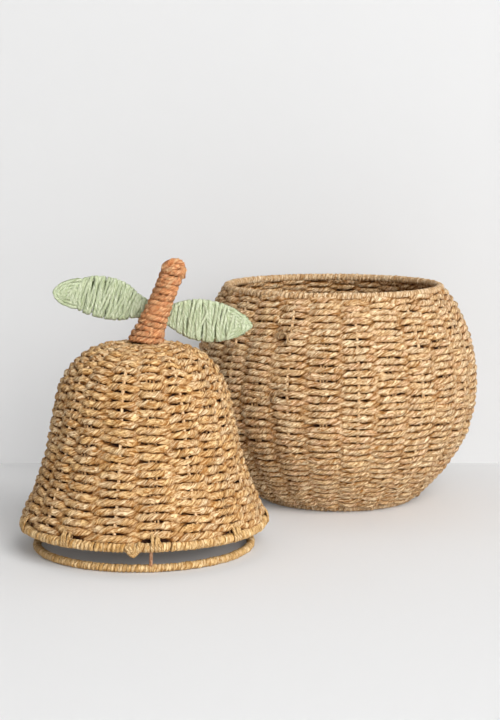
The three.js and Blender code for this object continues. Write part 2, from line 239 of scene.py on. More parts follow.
def stakes_passed(angle, at):
    """How many uprights a row has passed by an angle, with the shares between them."""
    stakes = len(at)
    spread = np.concatenate([at[-2:] - 2 * np.pi, at, at[:2] + 2 * np.pi])
    return np.interp(angle, spread, np.arange(-2, stakes + 2))


def woven_row(rng, line, lengths, place, row, at, centre, rope, weave_depth, tilt):
    """One closed row of rope at a length up the wall line, in front of every other stake."""
    radius = np.interp(place, lengths, line[:, 0])
    stakes = len(at)
    count = max(48, int(round(2 * np.pi * radius / ROPE_STEP)))
    angle = 2 * np.pi * np.arange(count) / count
    wave = np.cos(np.pi * stakes_passed(angle, at)) * (1 if row % 2 else -1)
    swing = np.sign(wave) * np.abs(wave) ** 0.95
    loose = np.clip((min(place, lengths[-1] - place) - 5) / 14, 0, 1)
    up = place + wander(rng, angle, 0.05 + 0.22 * loose) + row_wave(angle, place) * loose
    up -= tilt * np.sin(angle) * np.sin(np.pi * place / lengths[-1])
    slope = np.gradient(line, lengths, axis=0)
    radius = np.interp(up, lengths, line[:, 0])
    height = np.interp(up, lengths, line[:, 1])
    tilt_r, tilt_z = (np.interp(up, lengths, slope[:, k]) for k in (0, 1))
    spacing = 2 * np.pi * np.mean(radius) / stakes
    held = 0.45 + 0.55 * np.clip((lengths[-1] - place - 5) / 10, 0, 1)
    depth = held * swing * (weave_depth * min(1, spacing / 13)
                            + wander(rng, angle, 0.2, (5, 9, 14, 19)))
    facing = facing_out(angle)
    outward = facing * tilt_z[:, None] - np.array([0, 0, 1]) * tilt_r[:, None]
    points = facing * radius[:, None] + np.array([0, 0, 1]) * height[:, None]
    points = placed(points + outward * depth[:, None], centre)
    run = run_lengths(points)
    whole = run[-1] + np.linalg.norm(points[0] - points[-1])
    turns = max(1, round(whole / ROPE_LAY))
    turn = 2 * np.pi * turns * run / whole + wander(rng, angle, 0.6, (3, 7, 12, 19, 31))
    turn += rng.uniform(0, 6.28)
    thick = rope * (1 + wander(rng, angle, 0.07, (7, 12, 17, 29, 43, 67)))
    thick = thick[:, None] * crumple(rng, count, ROPE_SIDES, 0.085)
    out, across, open_share = rope_section(rng, turn, thick, ROPE_FOLDS, 0.17)
    pressed = np.abs(wave)[:, None]
    out *= 0.98 - 0.10 * pressed
    across *= 1.16 - 0.14 * pressed ** 3 * held
    # Painted shade: the rope is darker where it lies back in the weave, on its sides and in its
    # folds.
    proud = np.abs(depth[:, None] + out) / (weave_depth + rope)
    side = np.clip((np.abs(out) / rope - 0.10) / 0.5, 0, 1)
    lit = np.clip((proud - 0.12) / 0.50, 0, 1) * (0.25 + 0.75 * side)
    lit = lit * (0.45 + 0.55 * open_share)
    return sweep(points, outward, out, across, run + 1000 * row, True, lit)


def weave_wall(name, line, first, last, at, centre, body, nodes, material, seed,
               rope=ROPE_RADIUS, pitch=ROW_PITCH, weave_depth=WEAVE_DEPTH, tilt=0.0):
    """All rows of a wall, in bands of several rows each."""
    lengths = line_lengths(line)
    rows = int(round((last - first) / pitch)) + 1
    places = np.linspace(first, last, rows)
    band, number = [], 1
    for row, place in enumerate(places):
        rng = np.random.default_rng(seed * 1000 + row)
        band.append(woven_row(rng, line, lengths, place, row, at, centre, rope, weave_depth, tilt))
        if len(band) == ROWS_PER_BAND or row == rows - 1:
            piece = mesh_piece(f"{name}_{number:02d}", band, material)
            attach(piece, body)
            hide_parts(*nodes)
            band, number = [], number + 1


def linear(red, green, blue):
    """A colour as read off a picture, from 0 to 255, as the shader wants it."""
    shares = [value / 255 for value in (red, green, blue)]
    return (*[s / 12.92 if s <= 0.04045 else ((s + 0.055) / 1.055) ** 2.4 for s in shares], 1)


def add_node(tree, kind, place, **settings):
    node = tree.nodes.new(kind)
    node.location = place
    for key, value in settings.items():
        setattr(node, key, value)
    return node


def twisted_paper_group():
    """Shader group: the colour, roughness and creases of paper twisted into a cord. It follows the
    rope's own UV map, so that each crease runs along the twist. Long patches of a second tint and
    of a paler one change along each row, as the strips of paper do. It also paints shade: creases
    and facet edges are darkened, and the openness attribute turns the rope towards the Dark and
    Deep shade colours where it lies back in the weave's gaps and folds."""
    tree = bpy.data.node_groups.new("twisted_paper", "ShaderNodeTree")
    face = tree.interface
    for name, kind, value in (
        ("Light", "NodeSocketColor", (0.8, 0.6, 0.4, 1)),
        ("Middle", "NodeSocketColor", (0.7, 0.5, 0.3, 1)),
        ("Tint", "NodeSocketColor", (0.6, 0.5, 0.3, 1)),
        ("Dark", "NodeSocketColor", (0.5, 0.3, 0.2, 1)),
        # The deepest colour is painted shade in the weave's gaps.
        ("Deep shade", "NodeSocketColor", (0.1, 0.05, 0.02, 1)),
        ("Crease length", "NodeSocketFloat", 0.16),
        ("Crease width", "NodeSocketFloat", 2.4),
    ):
        socket = face.new_socket(name=name, in_out="INPUT", socket_type=kind)
        socket.default_value = value
    for name, kind in (("Colour", "NodeSocketColor"), ("Roughness", "NodeSocketFloat"),
                       ("Height", "NodeSocketFloat")):
        face.new_socket(name=name, in_out="OUTPUT", socket_type=kind)
    given = add_node(tree, "NodeGroupInput", (-1400, 0))
    result = add_node(tree, "NodeGroupOutput", (1300, 0))
    uv = add_node(tree, "ShaderNodeUVMap", (-1400, -300), uv_map="rope")
    split = add_node(tree, "ShaderNodeSeparateXYZ", (-1200, -300))
    tree.links.new(uv.outputs["UV"], split.inputs[0])

    def maths(operation, a, b, place):
        node = add_node(tree, "ShaderNodeMath", place, operation=operation)
        for socket, value in zip(node.inputs, (a, b)):
            if value is None:
                continue
            if isinstance(value, (int, float)):
                socket.default_value = value
            else:
                tree.links.new(value, socket)
        return node.outputs[0]

    def noise(vector, detail, roughness, distortion, place):
        node = add_node(tree, "ShaderNodeTexNoise", place)
        node.inputs["Scale"].default_value = 1.0
        node.inputs["Detail"].default_value = detail
        node.inputs["Roughness"].default_value = roughness
        node.inputs["Distortion"].default_value = distortion
        tree.links.new(vector, node.inputs["Vector"])
        return node.outputs[0]

    def share(value, low, high, place, start=0.0, end=1.0):
        node = add_node(tree, "ShaderNodeMapRange", place)
        for key, number in (("From Min", low), ("From Max", high),
                            ("To Min", start), ("To Max", end)):
            node.inputs[key].default_value = number
        tree.links.new(value, node.inputs["Value"])
        return node.outputs[0]

    def blend(factor, first, second, place):
        node = add_node(tree, "ShaderNodeMix", place, data_type="RGBA")
        for key, value in (("Factor", factor), (6, first), (7, second)):
            tree.links.new(value, node.inputs[key])
        return node.outputs[2]

    def spot(length, sine, cosine, place):
        node = add_node(tree, "ShaderNodeCombineXYZ", place)
        for socket, value in zip(node.inputs, (length, sine, cosine)):
            tree.links.new(value, socket)
        return node.outputs[0]

    round_angle = maths("MULTIPLY", split.outputs[1], 2 * math.pi, (-1000, -400))
    sine = maths("SINE", round_angle, None, (-800, -350))
    cosine = maths("COSINE", round_angle, None, (-800, -500))
    wide_sine = maths("MULTIPLY", sine, given.outputs["Crease width"], (-600, -350))
    wide_cosine = maths("MULTIPLY", cosine, given.outputs["Crease width"], (-600, -500))
    length = maths("MULTIPLY", split.outputs[0], given.outputs["Crease length"], (-600, -200))
    crease_place = spot(length, wide_sine, wide_cosine, (-400, -300))
    creases = noise(crease_place, 3.0, 0.6, 0.5, (-200, -200))
    fine_place = add_node(tree, "ShaderNodeVectorMath", (-400, -100), operation="MULTIPLY_ADD")
    tree.links.new(crease_place, fine_place.inputs[0])
    fine_place.inputs[1].default_value = (1.0, 0.8, 0.8)
    fine_place.inputs[2].default_value = (31.0, 7.0, 3.0)
    facets = add_node(tree, "ShaderNodeTexVoronoi", (-200, 100), feature="DISTANCE_TO_EDGE")
    facets.inputs["Scale"].default_value = 1.0
    tree.links.new(fine_place.outputs[0], facets.inputs["Vector"])
    tones = add_node(tree, "ShaderNodeTexVoronoi", (-200, 400), feature="F1")
    tones.inputs["Scale"].default_value = 1.0
    tree.links.new(fine_place.outputs[0], tones.inputs["Vector"])
    tone = add_node(tree, "ShaderNodeSeparateXYZ", (0, 400))
    tree.links.new(tones.outputs["Color"], tone.inputs[0])
    edge = share(facets.outputs["Distance"], 0.02, 0.13, (0, 100))
    faint = share(creases, 0.42, 0.58, (0, 250))
    line = maths("MAXIMUM", edge, faint, (200, 100))

    slow_length = maths("MULTIPLY", split.outputs[0], 0.045, (-600, -700))
    slow_place = spot(slow_length, maths("MULTIPLY", sine, 0.22, (-600, -850)),
                      maths("MULTIPLY", cosine, 0.22, (-600, -1000)), (-400, -700))
    patches = noise(slow_place, 2.0, 0.5, 0.0, (-200, -600))
    other_place = add_node(tree, "ShaderNodeVectorMath", (-400, -900), operation="MULTIPLY_ADD")
    tree.links.new(slow_place, other_place.inputs[0])
    other_place.inputs[1].default_value = (1.4, 1.4, 1.4)
    other_place.inputs[2].default_value = (57.0, 19.0, 5.0)
    tints = noise(other_place.outputs[0], 1.0, 0.5, 0.0, (-200, -900))

    paint = given.outputs
    pale = blend(share(patches, 0.38, 0.62, (0, -600)), paint["Middle"], paint["Light"],
                 (300, -400))
    tinted = blend(share(tints, 0.52, 0.66, (0, -900), 0.0, 0.8), pale, paint["Tint"], (500, -400))
    # Painted shade: the rope is darker in the low parts of its creases.
    crease_shade = blend(share(creases, 0.36, 0.54, (0, -200), 0.25), paint["Dark"], tinted, (700, -200))
    shaded = blend(share(tone.outputs[0], 0.0, 0.8, (500, 400), 0.5), paint["Dark"], crease_shade,
                   (800, -50))
    # Painted shade: thin dark lines along the facet edges and the creases.
    lined = blend(share(line, 0.0, 1.0, (700, 0)), paint["Dark"], shaded, (900, -100))
    # Painted shade: where openness is low, in the weave's gaps, on the rope's sides and in its
    # folds, the colour goes to Dark and then to the deepest shade colour.
    attribute = add_node(tree, "ShaderNodeAttribute", (700, 600), attribute_name="openness")
    openness = attribute.outputs["Fac"]
    gap_shade_dark = blend(share(openness, 0.30, 0.98, (900, 500)), paint["Dark"], lined, (1050, 0))
    gap_shade_deep = blend(share(openness, 0.05, 0.62, (900, 700)), paint["Deep shade"], gap_shade_dark, (1150, 0))
    low_edge = maths("MULTIPLY", share(facets.outputs["Distance"], 0.0, 0.35, (300, 500)), 0.55,
                     (500, 250))
    tilt = maths("MULTIPLY", tone.outputs[1], 0.35, (500, 550))
    height = maths("ADD", maths("ADD", creases, low_edge, (700, 150)), tilt, (900, 250))
    tree.links.new(gap_shade_deep, result.inputs["Colour"])
    tree.links.new(share(creases, 0.2, 0.8, (900, -400), 0.82, 0.62), result.inputs["Roughness"])
    tree.links.new(height, result.inputs["Height"])
    return tree


twisted_paper = twisted_paper_group()


def paper_material(name, light, middle, tint, dark, deep_shade,
                   crease_length=0.26, crease_width=2.2, crease_depth=0.8):
    """A paper cord's material: the twisted paper group with its own colours and crease sizes. Its
    dark and deep colours are also painted shade in the creases and gaps.
    """
    material = bpy.data.materials.new(name)
    material.use_nodes = True
    tree = material.node_tree
    shader = tree.nodes["Principled BSDF"]
    shader.inputs["Specular IOR Level"].default_value = 0.3
    paper = add_node(tree, "ShaderNodeGroup", (-500, 0), node_tree=twisted_paper)
    for key, colour in (("Light", light), ("Middle", middle), ("Tint", tint), ("Dark", dark),
                        ("Deep shade", deep_shade)):
        paper.inputs[key].default_value = linear(*colour)
    paper.inputs["Crease length"].default_value = crease_length
    paper.inputs["Crease width"].default_value = crease_width
    bump = add_node(tree, "ShaderNodeBump", (-250, -250))
    bump.inputs["Strength"].default_value = crease_depth
    bump.inputs["Distance"].default_value = 1.5 * MM
    tree.links.new(paper.outputs["Height"], bump.inputs["Height"])
    tree.links.new(paper.outputs["Colour"], shader.inputs["Base Color"])
    tree.links.new(paper.outputs["Roughness"], shader.inputs["Roughness"])
    tree.links.new(bump.outputs[0], shader.inputs["Normal"])
    return material


# The dark and deep browns also serve as painted shade in the creases and gaps of the weave.
straw_rope = paper_material(
    "straw_rope", (254, 232, 192), (252, 220, 170), (250, 212, 172), (158, 102, 34), (48, 20, 0))
basket_stakes = stake_angles(BASKET_FIRST_STAKE, BASKET_STAKES, 5, {})
weave_wall("basket_wall_rope", basket_wall_line(), BASKET_FIRST_ROW, BASKET_LAST_ROW, basket_stakes,
           BASKET_CENTRE, "basket", ["basket_wall_weave"], straw_rope, 1)


# Basket base: a flat disc of thinner rope, woven over twelve spokes that cross in the middle. It
# sits inside the foot ring, a little above the floor.
BASE_SPOKES = 12
BASE_HEIGHT = 3.2
BASE_ROPE = 2.15
BASE_PITCH = 2.5
BASE_WEAVE_DEPTH = 0.75
BASE_RADIUS = 61.5
BASE_EYE_RADIUS = 3.2
BASE_FIRST_ROW = 2.3
BASE_LAST_ROW = 57.0
SPOKE_REACH = 61
SPOKE_RADIUS = 0.9
base_line = np.stack([np.linspace(BASE_RADIUS, BASE_EYE_RADIUS, 300), np.full(300, BASE_HEIGHT)], 1)
base_stakes = 2 * np.pi * np.arange(BASE_SPOKES) / BASE_SPOKES
weave_wall("basket_base_rope", base_line, BASE_FIRST_ROW, BASE_LAST_ROW, base_stakes, BASKET_CENTRE,
           "basket", ["basket_base_weave"], straw_rope, 3, rope=BASE_ROPE, pitch=BASE_PITCH,
           weave_depth=BASE_WEAVE_DEPTH)


def wire(points, outward, radius, sides=8):
    """A plain round wire along some points."""
    corner = 2 * np.pi * np.arange(sides) / sides
    run = run_lengths(points)
    rings = np.ones((len(points), 1)) * radius
    return sweep(points, outward, rings * np.cos(corner), rings * np.sin(corner), run, False)


wire_paper = paper_material(
    "wire_paper", (250, 222, 180), (238, 204, 158), (232, 194, 148), (180, 134, 86), (74, 38, 8),
    0.3, 1.5, 0.3)
# The thin wires' paper is the single wires' paper made darker: painted shade, as they lie deeper in
# the weave.
thin_wire_shaded_paper = paper_material(
    "thin_wire_shaded_paper", (232, 194, 148), (214, 174, 124), (206, 164, 114), (150, 104, 56), (74, 38, 8),
    0.3, 1.5, 0.3)
spokes = []
for k in range(BASE_SPOKES // 2):
    turn = math.pi * k / (BASE_SPOKES // 2)
    direction = np.array([math.sin(turn), -math.cos(turn), 0])
    reach = np.linspace(-SPOKE_REACH, SPOKE_REACH, 9)[:, None]
    points = placed(reach * direction + np.array([0, 0, BASE_HEIGHT]), BASKET_CENTRE)
    spokes.append(wire(points, np.tile([0, 0, 1.0], (9, 1)), SPOKE_RADIUS))
base_spokes = mesh_piece("basket_base_spokes", spokes, wire_paper)
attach(base_spokes, "basket")


# Basket uprights: paper-covered wires from the foot ring to the rim ring, which the rope is woven
# round. Single wires take turns with groups of three thin ones.
SINGLE_WIRE = 1.3
SINGLE_FORWARD = 2.35
THIN_WIRE = 0.8
THIN_FORWARD = 1.7
THIN_ASIDES = (-2.8, 0.1, 2.7)
UPRIGHT_GAPS = {"basket": (3.6, 3.6), "lid": (3.8, 14)}
RING_REACH = 3.6


def upright(name, line, angle, single, centre, body, node):
    lengths = line_lengths(line)
    foot_gap, head_gap = UPRIGHT_GAPS[body]
    at = np.linspace(foot_gap, lengths[-1] - head_gap, 40)
    slope = np.gradient(line, lengths, axis=0)
    radius, height, tilt_r, tilt_z = (
        np.interp(at, lengths, values) for values in (*line.T, *slope.T))
    rng = np.random.default_rng(int(1000 * angle) % 9973)
    asides = [0.0] if single else np.array(THIN_ASIDES) + rng.uniform(-0.7, 0.7, 3)
    thick, proud = (SINGLE_WIRE, SINGLE_FORWARD) if single else (THIN_WIRE, THIN_FORWARD)
    parts = []
    for aside in asides:
        turn = angle + aside / np.maximum(radius, 20)
        facing = facing_out(turn)
        outward = facing * tilt_z[:, None] - np.array([0, 0, 1]) * tilt_r[:, None]
        points = facing * radius[:, None] + np.array([0, 0, 1]) * height[:, None]
        fade = np.clip((np.minimum(at, lengths[-1] - at) - RING_REACH) / 8, 0, 1)[:, None]
        forward = proud + wander(rng, at / 25, 0.35, (1, 2, 3, 5))[:, None]
        parts.append(wire(placed(points + outward * forward * fade, centre), outward, thick, 6))
    piece = mesh_piece(name, parts, wire_paper if single else thin_wire_shaded_paper)
    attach(piece, body)
    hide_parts(node)


for k, angle in enumerate(basket_stakes):
    upright(f"basket_upright_{k + 1:02d}", basket_wall_line(), angle, k % 2 == 0, BASKET_CENTRE,
            "basket", f"basket_stake_{k + 1:02d}")


# Loose loops: in two places on the front a strand of the rope's paper stands out of the weave.
def wall_point(angle, height, aside, above, proud):
    """A place near the basket's wall: millimetres aside, up and out from a spot on it."""
    line = basket_wall_line()
    radius = np.interp(height + above, line[:, 1], line[:, 0])
    turn = math.radians(angle) + aside / radius
    return (radius + proud) * math.sin(turn), -(radius + proud) * math.cos(turn), height + above


def smooth_path(points, count):
    """A smooth curve through a few given points."""
    points = np.array(points, float)
    padded = np.concatenate([[2 * points[0] - points[1]], points, [2 * points[-1] - points[-2]]])
    at = np.linspace(0, len(points) - 1, count)
    k = np.minimum(at.astype(int), len(points) - 2)
    t = (at - k)[:, None]
    a, b, c, d = (padded[k + step] for step in range(4))
    return 0.5 * (2 * b + (c - a) * t + (2 * a - 5 * b + 4 * c - d) * t ** 2
                  + (3 * b - a - 3 * c + d) * t ** 3)


def laid_rope(rng, points, outward, radius, lay, folds=ROPE_FOLDS, depth=0.14, sides=ROPE_SIDES,
              dent=0.05, flat=1.0):
    """A rope along open points, tapered shut at both ends."""
    run = run_lengths(points)
    thick = radius * crumple(rng, len(points), sides, dent)
    taper = np.clip(np.minimum(run + 0.4, run[-1] - run + 0.4) / (1.2 * radius), 0, 1) ** 0.5
    turn = 2 * np.pi * run / lay
    out, across, open_share = rope_section(rng, turn, thick * taper[:, None], folds, depth)
    # Painted shade: the rope is darker on its side that faces in and in its folds.
    lit = np.clip(0.62 + 0.75 * out / radius, 0, 1) * (0.5 + 0.5 * open_share)
    return sweep(points, outward, out * flat, across, run, False, lit)


rng = np.random.default_rng(41)
loops = []
for angle, height, places in (
    (-24.8, 152.2, [(-4.6, -1.0, 4.4), (-3.4, 3.2, 6.6), (0.2, 4.6, 7.6), (3.4, 2.2, 7.4),
                    (4.0, -2.2, 6.6), (1.4, -4.8, 4.6)]),
    (-24.2, 105.6, [(-6.6, -5.4, 4.4), (-4.8, -1.2, 7.0), (-1.6, 4.2, 8.2), (1.6, 5.4, 7.8),
                    (4.6, 3.2, 7.0), (7.2, 2.4, 4.6)]),
):
    path = smooth_path([wall_point(angle, height, *place) for place in places], 40)
    points = placed(path, BASKET_CENTRE)
    turn = math.radians(angle)
    outward = np.tile([math.sin(turn), -math.cos(turn), 0], (40, 1))
    loops.append(laid_rope(rng, points, outward, 1.25, 9.0, folds=2, sides=8, dent=0.12, flat=0.8))
loose = mesh_piece("basket_loose_loops", loops, straw_rope)
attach(loose, "basket")


# Basket rings: a round wire hoop at the mouth and one at the foot, each bound all round with a
# strand of the same paper, so closely that no wire shows.
BASKET_RIM_THICKNESS = 6.8
FOOT_RING_THICKNESS = 6.6
BINDING_PITCH = 3.9
STEPS_PER_TURN = 12
STRAND_SHARE = 0.21
STRAND_SIDES = 8


def bound_hoop(name, seed, radius, height, thickness, pitch, centre, body, node, material):
    """A strand wound round a hoop, with one turn of strand for every pitch of hoop."""
    rng = np.random.default_rng(seed)
    turns = int(round(2 * np.pi * radius / pitch))
    count = turns * STEPS_PER_TURN
    angle = 2 * np.pi * np.arange(count) / count
    wind = turns * angle + wander(rng, angle, 0.5, (9, 17, 31, 53))
    strand = STRAND_SHARE * thickness
    lift = (thickness / 2 - strand) * (1 + wander(rng, angle, 0.03, (21, 43, 67, 91)))
    facing = facing_out(angle)
    outward = facing * np.cos(wind)[:, None] + np.array([0, 0, 1]) * np.sin(wind)[:, None]
    points = placed(facing * radius + np.array([0, 0, height]) + outward * lift[:, None], centre)
    run = run_lengths(points)
    corner = 2 * np.pi * np.arange(STRAND_SIDES) / STRAND_SIDES
    dents = crumple(rng, count, STRAND_SIDES, 0.1)
    out = strand * np.cos(corner) * dents
    across = 0.62 * pitch * np.sin(corner) * dents
    # Painted shade: the strand is darker on its sides, in the grooves between turns.
    open_share = np.clip(0.25 + 1.0 * np.cos(corner), 0, 1) * np.ones((count, 1))
    core = bound_core(radius, height, thickness / 2 - 1.6 * strand, centre)
    binding = sweep(points, outward, out, across, run, True, open_share)
    piece = mesh_piece(name, [binding, core], material)
    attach(piece, body)
    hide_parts(node)


def bound_core(radius, height, thickness, centre):
    """The hoop inside a binding."""
    angle = 2 * np.pi * np.arange(120) / 120
    facing = facing_out(angle)
    corner = 2 * np.pi * np.arange(STRAND_SIDES) / STRAND_SIDES
    rings = np.ones((120, 1)) * thickness
    points = placed(facing * radius + np.array([0, 0, height]), centre)
    # The hoop gets a fixed painted shade, as it lies hidden inside the binding.
    return sweep(points, facing, rings * np.cos(corner), rings * np.sin(corner), radius * angle,
                 True, 0.3)


bound_strand = paper_material(
    "bound_strand", (238, 214, 178), (224, 196, 156), (214, 180, 136), (160, 114, 62), (76, 42, 8),
    0.35, 1.6, 0.6)
bound_hoop("basket_rim_binding", 11, MOUTH_RADIUS, BASKET_RIM_HEIGHT, BASKET_RIM_THICKNESS,
           BINDING_PITCH, BASKET_CENTRE, "basket", "basket_rim_ring", bound_strand)
bound_hoop("basket_foot_binding", 12, FOOT_RADIUS, FOOT_HEIGHT, FOOT_RING_THICKNESS,
           BINDING_PITCH, BASKET_CENTRE, "basket", "basket_foot_ring", bound_strand)


# Lid wall: the same weave of slightly thicker rope, in a bell shape closed over the crown. It is
# worked onto eighteen wires that meet the rim ring below and run in under the stem above.
LID_CENTRE = (-154.0, -181.4, 0.0)
LID_RIM_HEIGHT = 20.8
LID_BODY_RADIUS = 65.1
LID_SHOULDER = 80.0
LID_CROWN = 155.8
LID_FLARE_TOP = 115.5
LID_STAKES = 18
LID_FIRST_STAKE = math.radians(10)
LID_DOME_POWER = 2 / 2.87
LID_FLARE_POWER = 1.82
LID_FIRST_ROW = 5.4
LID_LAST_ROW = 171.0
LID_ROPE = 2.95
LID_PITCH = 3.23
LID_TILT = 5.0


def lid_wall_line():
    """Radius and height of the middle of the lid's wall, from the rim ring up to the crown."""
    straight = np.linspace(LID_RIM_HEIGHT, LID_SHOULDER, 400, endpoint=False)
    turn = np.linspace(0, math.pi / 2, 800)
    dome_height = LID_SHOULDER + (LID_CROWN - LID_SHOULDER) * np.sin(turn) ** LID_DOME_POWER
    dome_radius = LID_BODY_RADIUS * np.maximum(np.cos(turn), 0) ** LID_DOME_POWER
    height = np.concatenate([straight, dome_height])
    radius = np.concatenate([np.full(400, LID_BODY_RADIUS), dome_radius])
    share = np.clip((LID_FLARE_TOP - height) / (LID_FLARE_TOP - LID_RIM_HEIGHT), 0, 1)
    radius += (MOUTH_RADIUS - LID_BODY_RADIUS) * share ** LID_FLARE_POWER
    return np.stack([radius, height], 1)


lid_rope = paper_material(
    "lid_rope", (250, 224, 180), (247, 210, 152), (243, 202, 139), (157, 98, 26), (46, 18, 0))
lid_stakes = stake_angles(LID_FIRST_STAKE, LID_STAKES, 6, {0: -1.6, 16: -3.4})
weave_wall("lid_wall_rope", lid_wall_line(), LID_FIRST_ROW, LID_LAST_ROW, lid_stakes, LID_CENTRE,
           "lid", ["lid_wall_weave"], lid_rope, 2, rope=LID_ROPE, pitch=LID_PITCH, tilt=LID_TILT)


# Lid uprights, rings and posts: the wires run in under the stem, and the rim ring closes onto the
# basket's. Three short posts carry the smaller locating ring, which drops inside the basket's
# mouth.
LOCATING_RADIUS = 82.46
LOCATING_HEIGHT = 3.2
LOCATING_THICKNESS = 6.4
LOCATING_PITCH = 3.0
LID_RIM_THICKNESS = 7.6
LID_RIM_PITCH = 3.3
POST_ANGLES = (6.7, 130, 250)
POST_WIRE = 1.3
for k, angle in enumerate(lid_stakes):
    upright(f"lid_upright_{k + 1:02d}", lid_wall_line(), angle, k % 2 == 1, LID_CENTRE, "lid",
            f"lid_stake_{k + 1:02d}")
lid_strand = paper_material(
    "lid_strand", (246, 216, 166), (234, 198, 142), (226, 186, 122), (162, 114, 50), (76, 40, 4),
    0.35, 1.6, 0.6)
bound_hoop("lid_rim_binding", 13, MOUTH_RADIUS, LID_RIM_HEIGHT, LID_RIM_THICKNESS,
           LID_RIM_PITCH, LID_CENTRE, "lid", "lid_rim_ring", lid_strand)
bound_hoop("lid_locating_binding", 14, LOCATING_RADIUS, LOCATING_HEIGHT, LOCATING_THICKNESS,
           LOCATING_PITCH, LID_CENTRE, "lid", "lid_locating_ring", lid_strand)
post_paper = paper_material(
    "post_paper", (232, 190, 156), (214, 166, 130), (206, 156, 122), (150, 100, 68), (92, 54, 22),
    0.3, 1.5, 0.3)
for k, angle in enumerate(POST_ANGLES):
    turn = math.radians(angle)
    facing = np.array([math.sin(turn), -math.cos(turn), 0])
    foot = facing * LOCATING_RADIUS + [0, 0, LOCATING_HEIGHT]
    head = facing * MOUTH_RADIUS + [0, 0, LID_RIM_HEIGHT]
    along = np.linspace(0.1, 0.9, 7)[:, None]
    points = foot + along * (head - foot) + np.array(LID_CENTRE)
    wires = [wire(points, np.tile(facing, (7, 1)), POST_WIRE)]
    post = mesh_piece(f"lid_post_wire_{k + 1:02d}", wires, post_paper)
    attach(post, "lid")
    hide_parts(f"lid_post_{k + 1:02d}")


# Tied cords: at every other upright three short cords are passed round the rim ring and up over the
# lowest row, which holds the wall down on the ring. Two loose bights, one inside the other, hang on
# the ring at the front.
def at_rim(turn, places):
    """Places from millimetres aside, out and up from the rim ring, at an angle round the lid."""
    facing = np.array([math.sin(turn), -math.cos(turn), 0])
    aside = np.array([math.cos(turn), math.sin(turn), 0])
    ring = facing * MOUTH_RADIUS + np.array([0, 0, LID_RIM_HEIGHT]) + np.array(LID_CENTRE)
    aside_by, out_by, up_by = (np.array(places)[:, k:k + 1] for k in range(3))
    return ring + aside_by * aside + out_by * facing + up_by * np.array([0, 0, 1.0]), facing


TIE_SIDES = (-2.3, 0.4, 3.0)
TIE_RADIUS = 1.45
BIGHT_ANGLE = -1.3
CORD_LAY = 12.0
rng = np.random.default_rng(15)
ties = []
for k in range(0, LID_STAKES, 2):
    for side in TIE_SIDES:
        lean = rng.uniform(-2.0, 1.2)
        places = smooth_path([
            (side, 1.6, -3.0), (side, 3.5, -1.2), (side, 3.7, 1.4), (side + 0.3 * lean, 3.0, 4.2),
            (side + 0.7 * lean, 2.0, 6.6), (side + lean, -0.8, 9.6 + rng.uniform(-0.5, 0.8))], 22)
        points, facing = at_rim(lid_stakes[k], places)
        ties.append(laid_rope(rng, points, np.tile(facing, (22, 1)), TIE_RADIUS, CORD_LAY, folds=2,
                              sides=8, dent=0.09, flat=0.7))
for count, radius, places in (
    (34, 1.7, [(-4.4, 2.8, 0.8), (-3.8, 4.2, -1.2), (-2.0, 4.5, -3.2), (0.2, 4.4, -4.7),
               (2.3, 4.5, -3.0), (3.4, 4.5, -0.6), (4.0, 4.0, 2.2), (4.6, 2.0, 5.2)]),
    (24, 1.8, [(-2.2, 2.6, 2.0), (-1.8, 4.2, 0.2), (-0.2, 4.6, -1.8), (1.4, 4.4, -0.4),
               (1.7, 2.6, 2.0)]),
):
    points, facing = at_rim(math.radians(BIGHT_ANGLE), smooth_path(places, count))
    ties.append(laid_rope(rng, points, np.tile(facing, (count, 1)), radius, CORD_LAY, folds=2,
                          sides=8, dent=0.12))
tied = mesh_piece("lid_tied_cords", ties, lid_strand)
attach(tied, "lid")


# Stem: thick terracotta paper rope wound round a core from the crown up, with its last turn drawn
# in over the top and its end folded across. It leans to the right.
STEM_FOOT = np.array([3.0, 0, 161.8])
STEM_LEAN = math.radians(21.8)
STEM_RISE = 52.0
STEM_TURNS = 13.0
STEM_ROPE = 2.6
STEM_LAY = 12.0
STEM_RADIUS = 9.1
STEM_SPREAD = 4.4
STEM_AXIS = np.array([STEM_RISE * math.tan(STEM_LEAN), 0, STEM_RISE])
STEM_UP = np.array([math.sin(STEM_LEAN), 0, math.cos(STEM_LEAN)])


def stem_winding():
    rng = np.random.default_rng(21)
    turns = np.arange(-1.0, STEM_TURNS + 1.5, 1 / 26)
    angle = 2 * np.pi * turns - 0.6
    share = np.minimum(turns / STEM_TURNS, 1)
    cap = np.clip((turns - STEM_TURNS) / 1.5, 0, 1)
    radius = STEM_RADIUS + STEM_SPREAD * (1 - np.maximum(share, 0)) ** 3.0
    radius = radius + 16 * np.maximum(-share, 0) - 0.7 * STEM_ROPE
    uneven = 1 + 0.02 * np.sin(2.3 * turns) + 0.02 * np.sin(5.1 * turns)
    radius = radius * uneven * (1 - 0.78 * cap)
    tilt = STEM_LEAN * np.clip(0.4 + 1.1 * share, 0, 1)
    side = np.stack([np.cos(tilt), np.zeros_like(tilt), -np.sin(tilt)], 1)
    outward = side * np.cos(angle)[:, None] + np.array([0, 1, 0]) * np.sin(angle)[:, None]
    points = STEM_FOOT + STEM_AXIS * share[:, None] + outward * radius[:, None]
    phase = np.interp(turns, np.arange(-1, 17), np.cumsum(rng.normal(0, 1.1, 18)))
    sway = 1.15 * np.sin(angle + phase + 2.4) * (1 - cap) * np.clip(0.3 + 3 * share, 0, 1)
    points = points + STEM_UP * (4.2 * np.sin(cap * np.pi / 2) + sway)[:, None]
    outward = outward * (1 - cap)[:, None] + STEM_UP * cap[:, None] * 1.2
    flat = 0.7 + 0.3 * cap[:, None]
    return laid_rope(rng, points + np.array(LID_CENTRE), outward, STEM_ROPE, STEM_LAY, depth=0.18,
                     dent=0.13, flat=flat)


